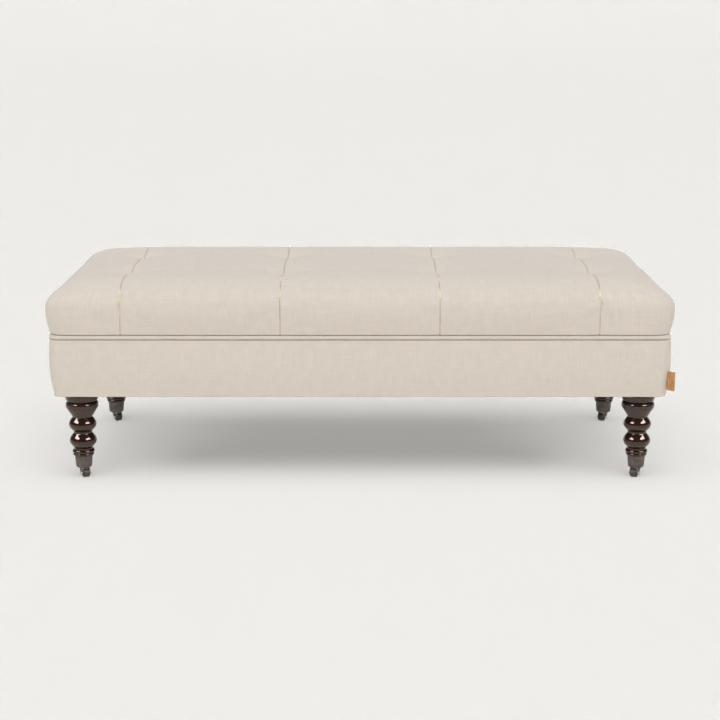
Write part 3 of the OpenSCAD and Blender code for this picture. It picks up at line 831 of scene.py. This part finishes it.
def build_piping():
    """The linen roll round the lid's lower edge."""
    sides = 20
    half_x, half_y = pipe_hi[0] - PIPE_R, pipe_hi[1] - PIPE_R
    centre_z = (pipe_hi[2] + pipe_lo[2]) / 2 - PIPE_SAG
    xs = stations(half_x, [], 12 * MM)
    ys = stations(half_y, [], 12 * MM)
    loop, outward = rounded_loop(xs, ys, half_x, half_y, CORNER_R - PIPE_R, 24 * MM)
    run = travel(loop)
    wander = waves(loop, 0.12, 0.22 * MM, seed=3)
    swell = 1 + waves(loop, 0.05, 0.012, seed=4)
    rings, uvs = [], []
    for k in range(sides + 1):
        turn = 2 * math.pi * k / sides
        out, up = math.cos(turn) * PIPE_R, math.sin(turn) * PIPE_R
        flat = loop + outward * (out * swell + wander)[:, None]
        rings.append(np.column_stack([flat, centre_z + up * swell]))
        uvs.append(np.column_stack([run, np.full(len(run), k / sides * 2 * math.pi * PIPE_R)]))
    verts, faces, coords = skin(rings, uvs)
    obj = make_object("lid_piped_edge", verts, faces, coords)
    face_outwards(obj, weld=1e-6)
    stand_for(obj, "linen_bias", "lid", "linen_piping", "lid_piping")


build_piping()


# ---------------------------------------------------------------- box cover


# The linen rolls a little over the rim, except along the hinge
LIP = 0.3 * MM


def box_profile():
    """Outline of the cover from the rim's inner edge round to the bottom fold.

    Each point is how far outside the box's CAD side it stands, and its height.
    """
    rim, bottom = box_hi[2], box_lo[2]
    inner = box_hi[0] - well_hi[0]
    roll = 4.2 * MM
    line = [(-inner, rim - 4 * MM), (-inner, rim - 1.2 * MM), (-inner + 1.2 * MM, rim)]
    line += [(-0.7 * inner, rim), (-0.4 * inner, rim)]
    line += arc((0.8 * MM - roll, rim - roll + LIP), roll, 90, 8, 7)
    belly = [(1.6, 12), (2.4, 26), (2.8, 42), (2.8, 58), (2.0, 74), (0.4, 88), (-1.8, 100), (-4.4, 110)]
    line += [(out * MM, rim - down * MM) for out, down in belly]
    line += arc((-9.0 * MM, bottom + 0.3 * MM), 3 * MM, -8, -90, 6)
    line += [(-14 * MM, bottom - 2.2 * MM), (-20 * MM, bottom - 1.0 * MM), (-26 * MM, bottom)]
    line += [(-26 * MM, bottom + 1 * MM)]
    return np.array(line)


def build_box_cover():
    """Linen round the box, over its rim and under its bottom."""
    xs = stations(box_hi[0], [], 14 * MM)
    ys = stations(box_hi[1], [], 14 * MM)
    profile = box_profile()
    arc_length = travel(profile)
    flat = np.array([(x, -box_hi[1]) for x in xs[:-1]] + [(box_hi[0], y) for y in ys[:-1]]
                    + [(x, box_hi[1]) for x in xs[:0:-1]] + [(-box_hi[0], y) for y in ys[:0:-1]])
    run = travel(flat)
    rings, uvs = [], []
    for (width, z), length in zip(profile, arc_length):
        radius = max(1.5 * MM, CORNER_R + width)
        loop, outward = rounded_loop(xs, ys, box_hi[0] + width, box_hi[1] + width, radius, 26 * MM)
        ring = np.column_stack([loop, np.full(len(loop), z)])
        if z > box_hi[2]:
            at_hinge = np.clip((loop[:, 1] - box_hi[1] + 30 * MM) / (20 * MM), 0, 1)
            ring[:, 2] -= (z - box_hi[2]) * at_hinge
        if box_lo[2] + 4 * MM < z < box_hi[2] - 3 * MM and width > -7 * MM:
            uneven = waves(ring, 0.22, 0.35 * MM, seed=11) + waves(ring, 0.06, 0.08 * MM, seed=12)
            ring[:, :2] += outward * (uneven - 0.5 * MM)[:, None]
        rings.append(ring)
        uvs.append(np.column_stack([run, np.full(len(run), -length)]))
    rings = seam_corners(rings, xs, ys)
    verts, faces, coords = skin(rings, uvs)
    obj = make_object("box_linen_cover", verts, faces, coords)
    subdivide(obj)
    stand_for(obj, "linen", "box", "linen", "box_cover")


def seam_corners(rings, xs, ys):
    """Press a fine groove into the middle of each upright corner, where two cloths are sewn."""
    nx, ny = len(xs) - 1, len(ys) - 1
    corner_index = [0, nx, nx + ny, 2 * nx + ny]
    for ring in rings:
        centre = ring[:, :2].mean(axis=0)
        for k in corner_index:
            inward = centre - ring[k, :2]
            inward = np.sign(inward) / math.sqrt(2)
            ring[k, :2] += inward * 1.1 * MM
    return rings


def build_box_padding():
    """Foam round the frame, right under the linen."""
    xs = stations(box_hi[0], [], 14 * MM)
    ys = stations(box_hi[1], [], 14 * MM)
    rail_lo, rail_hi = corners("front_rail")
    frame_x = rail_hi[0] + 0.1 * MM
    under = 2.8 * MM
    line = [(w - under, z) for w, z in box_profile()
            if rail_lo[2] + 1 * MM < z < rail_hi[2] - 1 * MM and w > -8 * MM]
    top, bottom = line[0], line[-1]
    frame_inset = frame_x - box_hi[0]
    line = [(frame_inset, top[1])] + line + [(frame_inset, bottom[1]), (frame_inset, top[1])]
    rings = []
    for width, z in line:
        radius = max(1.5 * MM, CORNER_R + width)
        loop, _ = rounded_loop(xs, ys, box_hi[0] + width, box_hi[1] + width, radius, 26 * MM)
        rings.append(np.column_stack([loop, np.full(len(loop), z)]))
    verts, faces, _ = skin(rings, [ring[:, :2] for ring in rings])
    obj = make_object("box_foam_wrap", verts, faces)
    stand_for(obj, "foam", "box", "foam", "box_padding")


build_box_cover()
build_box_padding()


# ---------------------------------------------------------------- linings and dust cloth


def build_storage_lining():
    """Cotton glued to the inside of the box: four walls and the floor, soft where they meet."""
    wall = 1.5 * MM
    half_x, half_y = well_hi[0] - wall, well_hi[1] - wall
    xs = stations(half_x, [], 16 * MM)
    ys = stations(half_y, [], 16 * MM)
    floor_z = well_lo[2] + wall
    rim = well_hi[2]
    bend = 3 * MM
    line = [(wall, rim - 0.5 * MM), (0.6 * MM, rim), (0, rim - 0.8 * MM)]
    line += [(0, z) for z in np.linspace(rim - 6 * MM, floor_z + 8 * MM, 9)]
    line += [(-bend + x, floor_z + bend + z) for x, z in
             ((bend * math.cos(t), -bend * math.sin(t)) for t in np.radians([0, 30, 60, 90]))]
    line = np.array(line)
    arc_length = travel(line)
    flat_loop, _ = rounded_loop(xs, ys, half_x, half_y, 1 * MM, 3 * MM)
    run = travel(flat_loop)
    rings, uvs = [], []
    for (width, z), length in zip(line, arc_length):
        loop, outward = rounded_loop(xs, ys, half_x + width, half_y + width, 2 * MM, 6 * MM)
        ring = np.column_stack([loop, np.full(len(loop), z)])
        ripple = np.abs(waves(ring, 0.09, 0.25 * MM, seed=21))
        ring[:, :2] -= outward * ripple[:, None] * 0.6
        rings.append(ring)
        uvs.append(np.column_stack([run, np.full(len(run), -length)]))
    verts, faces, coords = skin(rings, uvs)
    grid_x = np.linspace(-half_x + bend, half_x - bend, 64)
    grid_y = np.linspace(-half_y + bend, half_y - bend, 28)
    grid = np.array([(x, y) for y in grid_y for x in grid_x])
    ripple = np.abs(waves(grid, 0.09, 0.25 * MM, seed=22))
    faces += grid_faces(len(grid_x), len(grid_y), first=len(verts))
    verts = np.vstack([verts, np.column_stack([grid, floor_z + ripple])])
    coords = np.vstack([coords, grid])
    obj = make_object("storage_cotton_lining", verts, faces, coords)
    stand_for(obj, "lining", "box", "lining", "storage_lining")


def panel_places(lo, hi, step, hem):
    """Places across a cloth, with a close pair at the inner edge of each hem."""
    fold = 1 * MM
    even = np.linspace(lo, hi, round((hi - lo) / step) + 1)
    return np.sort(np.concatenate([even, [lo + hem, hi - hem, lo + hem + fold, hi - hem - fold]]))


def cloth_panel(name, lo, hi, z, amount, seed, step=14 * MM, hem=9 * MM):
    """A flat cloth with a folded hem and slight ripples, both hanging below z."""
    xs = panel_places(lo[0], hi[0], step, hem)
    ys = panel_places(lo[1], hi[1], step, hem)
    grid = np.array([(x, y) for y in ys for x in xs])
    inside = np.minimum(grid - lo[:2], hi[:2] - grid).min(axis=1)
    ripple = np.abs(waves(grid, 0.11, amount, seed)) * np.clip(inside / (40 * MM), 0, 1)
    thick = np.where(inside <= hem + 0.2 * MM, 0.5 * MM, 0.0)
    points = np.column_stack([grid, z - (thick + ripple)])
    faces = [face[::-1] for face in grid_faces(len(xs), len(ys))]
    return make_object(name, points, faces, grid)


build_storage_lining()

lid_lining = cloth_panel("lid_cotton_lining", pad_lo, pad_hi, pad_lo[2] + 0.35 * MM, 0.12 * MM, seed=31)
stand_for(lid_lining, "lining", "lid", "lining", "lid_lining")

dust_cloth = cloth_panel("dust_cloth_panel", cloth_lo, cloth_hi, cloth_lo[2] + 0.3 * MM, 0.6 * MM, seed=32)
stand_for(dust_cloth, "dust_cloth", "box", "dust_cloth", "dust_cover")


# ---------------------------------------------------------------- leather tab


def build_tab():
    """A folded strip of leather that stands out of the front right corner seam."""
    root = np.array([box_hi[0] - CORNER_R, -box_hi[1] + CORNER_R])
    out = np.array([1.0, -1.0]) / math.sqrt(2)
    side = np.array([1.0, 1.0]) / math.sqrt(2)
    start = CORNER_R - 2.2 * MM
    reach = CORNER_R + 18.0 * MM
    ply, gap = 1.25 * MM, 0.25 * MM
    face = gap + ply
    centre = reach - face
    outline = [(start, -gap), (centre - 4 * MM, -gap)]
    outline += arc((centre, 0), gap + 0.3 * MM, -70, 70, 5)
    outline += [(centre - 4 * MM, gap), (start, gap), (start, face), (centre - 2 * MM, face)]
    outline += arc((centre, 0), face, 75, -75, 7)
    outline += [(centre - 2 * MM, -face), (start, -face)]
    low, high = tab_lo[2], tab_hi[2]
    flat = [root + out * a + side * b for a, b in outline]
    obj = prism("leather_tab_fold", [(*p, low) for p in flat], [(*p, high) for p in flat])
    dress(obj, "leather")
    obj.data.materials.append(MAT["leather_edge"])
    bm = bmesh.new()
    bm.from_mesh(obj.data)
    for polygon in bm.faces:
        polygon.material_index = 1 if abs(polygon.normal.z) > 0.7 else 0
    bmesh.ops.triangulate(bm, faces=[f for f in bm.faces if len(f.verts) > 4])
    bm.to_mesh(obj.data)
    bm.free()
    bevel(obj, 0.35 * MM, 2)
    stitches = []
    margin, count = 3.2 * MM, 8
    for sign in (-1, 1):
        for k in range(count):
            z = low + margin + k * (high - low - 2 * margin) / count
            line = root + out * (CORNER_R + margin) + side * sign * (face + 0.15 * MM)
            ends = [(*line, z + d) for d in (0.4 * MM, 3.4 * MM)]
            stitches.append(capsule(*ends, 0.35 * MM))
    thread = dress(many("tab_stitches", stitches), "thread")
    stand_for(join("leather_tab_sewn", [obj, thread]), None, "box", "tan_leather", "leather_tab")


build_tab()


# ---------------------------------------------------------------- legs


def bead(z0, z1, r0, r1, widest, count=17, pointed=False):
    """A swelling between two necks, in millimetres: full and round, or pointed like a lens."""
    line = []
    for t in np.linspace(0, math.pi, count):
        neck = r0 if t < math.pi / 2 else r1
        rise = t / math.pi if pointed else (1 - math.cos(t)) / 2
        line.append((neck + (widest - neck) * math.sin(t), z0 + (z1 - z0) * rise))
    return line


def leg_profile():
    """Radius and height of the turned leg, from inside the castor cup up to the box."""
    line = [(0, 40), (13, 40), (17.1, 46.6)]
    line += bead(46.7, 52.2, 20.5, 20.5, 21.9, 9)
    line += bead(52.3, 60.0, 20.4, 19.0, 23.4, 13)
    line += [(19.0, 60.3), (18.9, 62.8)]
    line += bead(63.0, 95.0, 19.0, 19.6, 28.4, 25, pointed=True)
    line += [(19.5, 95.3), (19.5, 98.7)]
    line += bead(99.0, 129.5, 19.6, 20.6, 29.0, 25, pointed=True)
    line += [(20.7, 130.0), (26.9, 140.0), (33.2, 150.2)]
    line += bead(150.4, 163.3, 33.2, 29.0, 34.4, 15)
    line += bead(163.5, 182.9, 29.0, 32.0, 34.4, 15)
    line += [(0, 183.0)]
    return np.array(line) * MM


under_box = []
for place, centre in LEGS.items():
    leg = lathe("turned_leg_" + place, leg_profile(), 72, (centre[0], centre[1], 0))
    under_box.append(stand_for(leg, "wood", "box", "stained_wood", "leg_" + place))


# ---------------------------------------------------------------- castors


def cup_profile():
    """Radius and height of the cast cup: flat bottom, rounded foot, flared side, rolled lip."""
    line = [(4.1, 20.8), (13.6, 20.8)]
    line += arc((14.2, 23.3), 2.4, -85, -12, 6)
    line += [(17.3, 29.0), (17.9, 37.0), (18.5, 44.4)]
    line += [(18.8, 45.4), (18.7, 46.3), (18.2, 46.6), (17.5, 46.6), (16.4, 38)]
    return np.array(line) * MM


def wheel_profile():
    """Radius and place along the axle of a wheel with a round tread, dished sides and a hub."""
    half, radius, edge, bore, hub = 7.0, 9.0, 3.0, 1.65, 3.6
    line = [(bore, -half + 0.2), (hub, -half + 0.2), (hub + 0.4, -half + 0.7), (radius - 3.6, -half + 0.7)]
    line += [(radius - 3.1, -half + 0.1)]
    line += arc((radius - edge, -half + edge), edge, -90, 0, 8)
    line += arc((radius - edge, half - edge), edge, 0, 90, 8)
    line += [(radius - 3.6, half - 0.7), (hub + 0.4, half - 0.7), (hub, half - 0.2), (bore, half - 0.2)]
    line += [(bore, -half + 0.2)]
    return np.array(line) * MM


def castor_axes(place):
    """Middle and direction of the axle and direction of the trail, from the CAD wheel and the leg."""
    lo, hi = corners("castor_wheel_" + place)
    middle = (lo + hi) / 2
    trail = middle[:2] - LEGS[place][:2]
    trail /= np.linalg.norm(trail)
    return middle, np.array([-trail[1], trail[0]]), trail


def turn_to(obj, middle, axle):
    """Lay a lathe-turned piece from the Z axis onto the axle."""
    points = points_of(obj)
    z = np.array([0, 0, 1.0])
    a = np.array([axle[0], axle[1], 0])
    other = np.cross(z, a)
    points = points[:, :1] * other + points[:, 1:2] * z + points[:, 2:3] * a + middle
    set_points(obj, points)


def build_fork(place, middle, axle, trail):
    """A round crown with its stem and two cheeks beside the wheel."""
    leg = LEGS[place]
    plate, inner = 2.0 * MM, 7.4 * MM
    top = 20.5 * MM
    profile = [(0, 18.7), (9.8, 18.7), (10.8, 19.1), (11, 19.6), (10.7, 20.2), (9.8, 20.5)]
    profile += [(4.0, 20.5), (4.0, 39.1), (0, 39.1)]
    crown = lathe("crown_" + place, np.array(profile) * MM, 48, (leg[0], leg[1], 0))
    reach = (middle[:2] - leg[:2]) @ trail
    outline = [(-6.5 * MM, top), (8.5 * MM, top)]
    outline += arc((reach, middle[2]), 3.8 * MM, 48, -96, 12)
    outline += [(4.2 * MM, 6.4 * MM), (1.2 * MM, 9.4 * MM)]
    pieces = [crown]
    for sign in (-1, 1):
        sides = [[(*(leg[:2] + trail * a + axle * sign * depth), z) for a, z in outline]
                 for depth in (inner, inner + plate)]
        cheek = prism("cheek", *sides)
        bevel(cheek, 0.5 * MM, 3)
        pieces.append(cheek)
    return join("castor_fork_pressed_" + place, pieces)


def rivet_profile():
    """Radius and place along the axle of a pin with a domed head on each end."""
    dome = [(0, 10.3), (1.4, 10.25), (2.2, 9.95), (2.6, 9.45), (1.6, 9.42)]
    return np.array([(r, -z) for r, z in dome] + dome[::-1]) * MM


for place, leg in LEGS.items():
    middle, axle, trail = castor_axes(place)
    cup = lathe("castor_socket_" + place, cup_profile(), 64, (leg[0], leg[1], 0))
    under_box.append(stand_for(cup, "pewter", "box", "antique_pewter", "castor_cup_" + place))
    wheel = lathe("castor_tread_" + place, wheel_profile(), 56)
    turn_to(wheel, middle, axle)
    under_box.append(stand_for(wheel, "wheel", "wheel_" + place, "castor_wheel", "castor_wheel_" + place))
    fork = build_fork(place, middle, axle, trail)
    stand_for(fork, "pewter", "castor_" + place, "antique_pewter", "castor_fork_" + place)
    pin = lathe("castor_rivet_" + place, rivet_profile(), 32)
    turn_to(pin, middle, axle)
    stand_for(pin, "zinc", "castor_" + place, "zinc_steel", "castor_axle_" + place)


# ---------------------------------------------------------------- finishes of the CAD nodes that stay

FINISH = {
    "ply": ("front_rail", "back_rail", "left_rail", "right_rail", "corner_blocks", "floor_battens",
            "floor_board", "lid_board"),
    "zinc": ("frame_screws", "threaded_inserts", "hanger_bolts", "hinge_box_leaf", "hinge_lid_leaf",
             "hinge_pin", "hinge_box_screws", "hinge_lid_screws",
             "strut_box_bracket_left", "strut_box_bracket_right",
             "strut_lid_bracket_left", "strut_lid_bracket_right", "strut_box_screws", "strut_lid_screws"),
    "pewter": ("castor_cup_screws",),
    "rubber": ("lid_bumpers",),
    "plastic": ("tufting_washers",),
    "twine": ("tufting_twines",),
    "paint": ("strut_cylinder_left", "strut_cylinder_right"),
    "chrome": ("strut_rod_left", "strut_rod_right"),
}
for key, names in FINISH.items():
    for name in names:
        paint_node(name, key)


# ---------------------------------------------------------------- studio

STUDIO_GREY = (0.0400, 0.0394, 0.0378)


def build_floor():
    """A pale floor that curves up very slowly far behind, so that no horizon shows."""
    width, front, back, radius = 60.0, -30.0, 20.0, 60.0
    line = [(front, 0.0), (0.0, 0.0)]
    line += [(back + radius * math.sin(t), radius * (1 - math.cos(t))) for t in np.radians(range(0, 61, 4))]
    verts, faces = [], []
    for y, z in line:
        verts += [(-width, y, z), (width, y, z)]
    for i in range(len(line) - 1):
        faces.append((2 * i, 2 * i + 1, 2 * i + 3, 2 * i + 2))
    obj = make_object("studio_floor", verts, faces)
    s = Shader("studio_paper", roughness=0.95)
    s.set("Specular IOR Level", 0.1)
    paper = s.noise(s.place("Object", (3, 3, 3)), detail=3)
    tone = s.ramp(paper, [(0.3, shade(STUDIO_GREY, 0.995)), (0.7, STUDIO_GREY)])
    obj.data.materials.append(s.finish(tone))
    return obj


def build_flags():
    """Two cards, seen by no ray but the floor lights', that give the box's shadow its soft edge."""
    s = Shader("flag_card", roughness=0.9)
    fibre = s.noise(s.place("Object", (40, 40, 40)), detail=3)
    card = s.finish(s.ramp(fibre, [(0.3, (0.02, 0.02, 0.02)), (0.7, (0.03, 0.03, 0.03))]))
    half_x = 0.45
    cards = (
        ("flag_under", cloth_lo[2] - 3 * MM, -0.214, -0.067),
        ("flag_inside", lid_hi[2] - TUFT_DEPTH - 8 * MM, -0.212, 0.238),
    )
    flags = []
    for name, z, front, back in cards:
        verts = [(-half_x, front, z), (half_x, front, z), (half_x, back, z), (-half_x, back, z)]
        obj = make_object(name, verts, [(0, 1, 2, 3)])
        obj.data.materials.append(card)
        for ray in ("camera", "diffuse", "glossy", "transmission"):
            setattr(obj, "visible_" + ray, False)
        flags.append(obj)
    return flags


def aim(obj, target):
    """Turn a light towards a place."""
    obj.rotation_euler = (Vector(target) - obj.location).to_track_quat("-Z", "Y").to_euler()


def softbox(name, place, size, power):
    """A warm panel of light that is only seen in polished surfaces."""
    data = bpy.data.lights.new(name, "AREA")
    data.shape = "RECTANGLE"
    data.size, data.size_y = size
    data.energy = power
    data.color = (1.0, 0.88, 0.82)
    obj = bpy.data.objects.new(name, data)
    bpy.context.scene.collection.objects.link(obj)
    obj.location = place
    aim(obj, (0, -0.2, 0.1))
    obj.visible_diffuse = False
    return obj


def link_light(light, role, objects, state="INCLUDE"):
    """Keep a light to some objects, or let it pass them by."""
    group = bpy.data.collections.new(f"{light.name}_{role}")
    for piece in objects:
        group.objects.link(piece)
    for entry in group.collection_objects:
        entry.light_linking.link_state = state
    setattr(light.light_linking, role + "_collection", group)


def sun(name, place, strength, spread, only=None, blockers=None):
    """A soft distant light with no highlight; it can be kept to some objects and shaded by a few."""
    data = bpy.data.lights.new(name, "SUN")
    data.energy = strength
    data.angle = math.radians(spread)
    obj = bpy.data.objects.new(name, data)
    bpy.context.scene.collection.objects.link(obj)
    obj.location = place
    obj.visible_glossy = False
    aim(obj, (0, 0, 0))
    data.use_shadow = blockers != []
    for role, objects in (("receiver", only), ("blocker", blockers)):
        if objects is not None:
            link_light(obj, role, objects)
    return obj


def build_sky():
    """Even light from all round; polished pieces reflect a darker room than the one that lights them."""
    world = bpy.data.worlds.new("studio")
    world.use_nodes = True
    tree = world.node_tree
    sky = tree.nodes["Background"]
    sky.inputs["Color"].default_value = (0.97, 0.98, 1.0, 1)
    rays = tree.nodes.new("ShaderNodeLightPath")
    strength = tree.nodes.new("ShaderNodeMapRange")
    tree.links.new(rays.outputs["Is Glossy Ray"], strength.inputs["Value"])
    strength.inputs["To Min"].default_value = 0.85
    strength.inputs["To Max"].default_value = 0.12
    tree.links.new(strength.outputs["Result"], sky.inputs["Strength"])
    bpy.context.scene.world = world


def build_light(floor, flags):
    """Lamps that pass by the flags, and lamps of the floor, which the flags shade."""
    build_sky()
    lights = [
        sun("front_fill", (0, -6, 4), 0.785, 60),
        sun("top_fill", (0, -0.5, 5), 0.30, 60),
        softbox("left_softbox", (-5.25, -2.75, 5.0), (5.0, 2.3), 560),
        softbox("right_softbox", (5.0, -3.4, 5.1), (5.0, 2.3), 560),
    ]
    for light in lights:
        link_light(light, "blocker", flags, "EXCLUDE")
    sun("floor_fill", (0, -0.01, 5), 27.7, 10, only=[floor], blockers=[])
    sun("floor_key_wide", (0, -2.03, 5), 13.6, 74, only=[floor], blockers=flags)
    sun("floor_key_narrow", (0, -1.33, 5), 24.5, 56, only=[floor], blockers=flags + under_box)


def build_camera():
    """The photo's view."""
    data = bpy.data.cameras.new("camera")
    data.sensor_width = 36.0
    data.lens = 84.7
    obj = bpy.data.objects.new("camera", data)
    bpy.context.scene.collection.objects.link(obj)
    obj.location = (0, -3.700, 0.988)
    obj.rotation_euler = (math.radians(90 - 12.05), 0, 0)
    bpy.context.scene.camera = obj


build_light(build_floor(), build_flags())
build_camera()
bpy.context.scene.view_settings.view_transform = "Standard"
